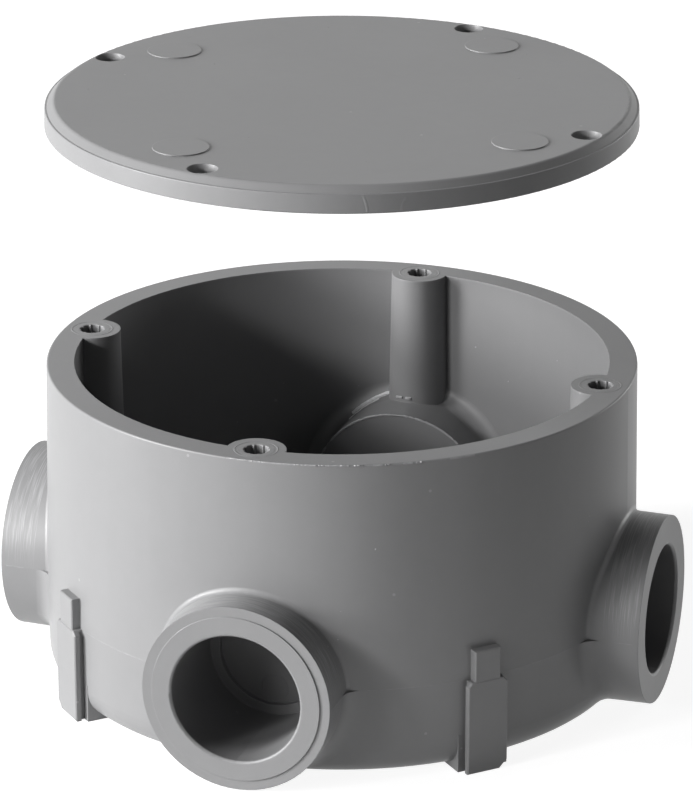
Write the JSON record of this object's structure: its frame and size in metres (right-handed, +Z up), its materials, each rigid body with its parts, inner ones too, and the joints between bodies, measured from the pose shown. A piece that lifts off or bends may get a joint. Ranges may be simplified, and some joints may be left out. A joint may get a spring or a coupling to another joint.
{
  "type": "conduit body",
  "caption": "Round conduit body with conduit hubs at right angles, an open top ringed by screw posts, mounting lugs at the base and its flat round lid lifted off above it.",
  "frame": {"origin": "centre of the footprint, on the plane of the mounting lugs' feet", "axes": "+Z up along the axis of the round wall, +X and +Y along the conduit hubs, the hub whose face has a raised pad is on -Y"},
  "size_m": [0.1134, 0.1134, 0.1019],
  "materials": {
    "body_plastic": "grey moulded rigid vinyl, satin, with a parting line and tool marks",
    "lid_plastic": "grey moulded rigid vinyl, satin"
  },
  "bodies": {
    "root": {"conduit_body": "body_plastic", "lid": "lid_plastic"}
  },
  "joints": []
}
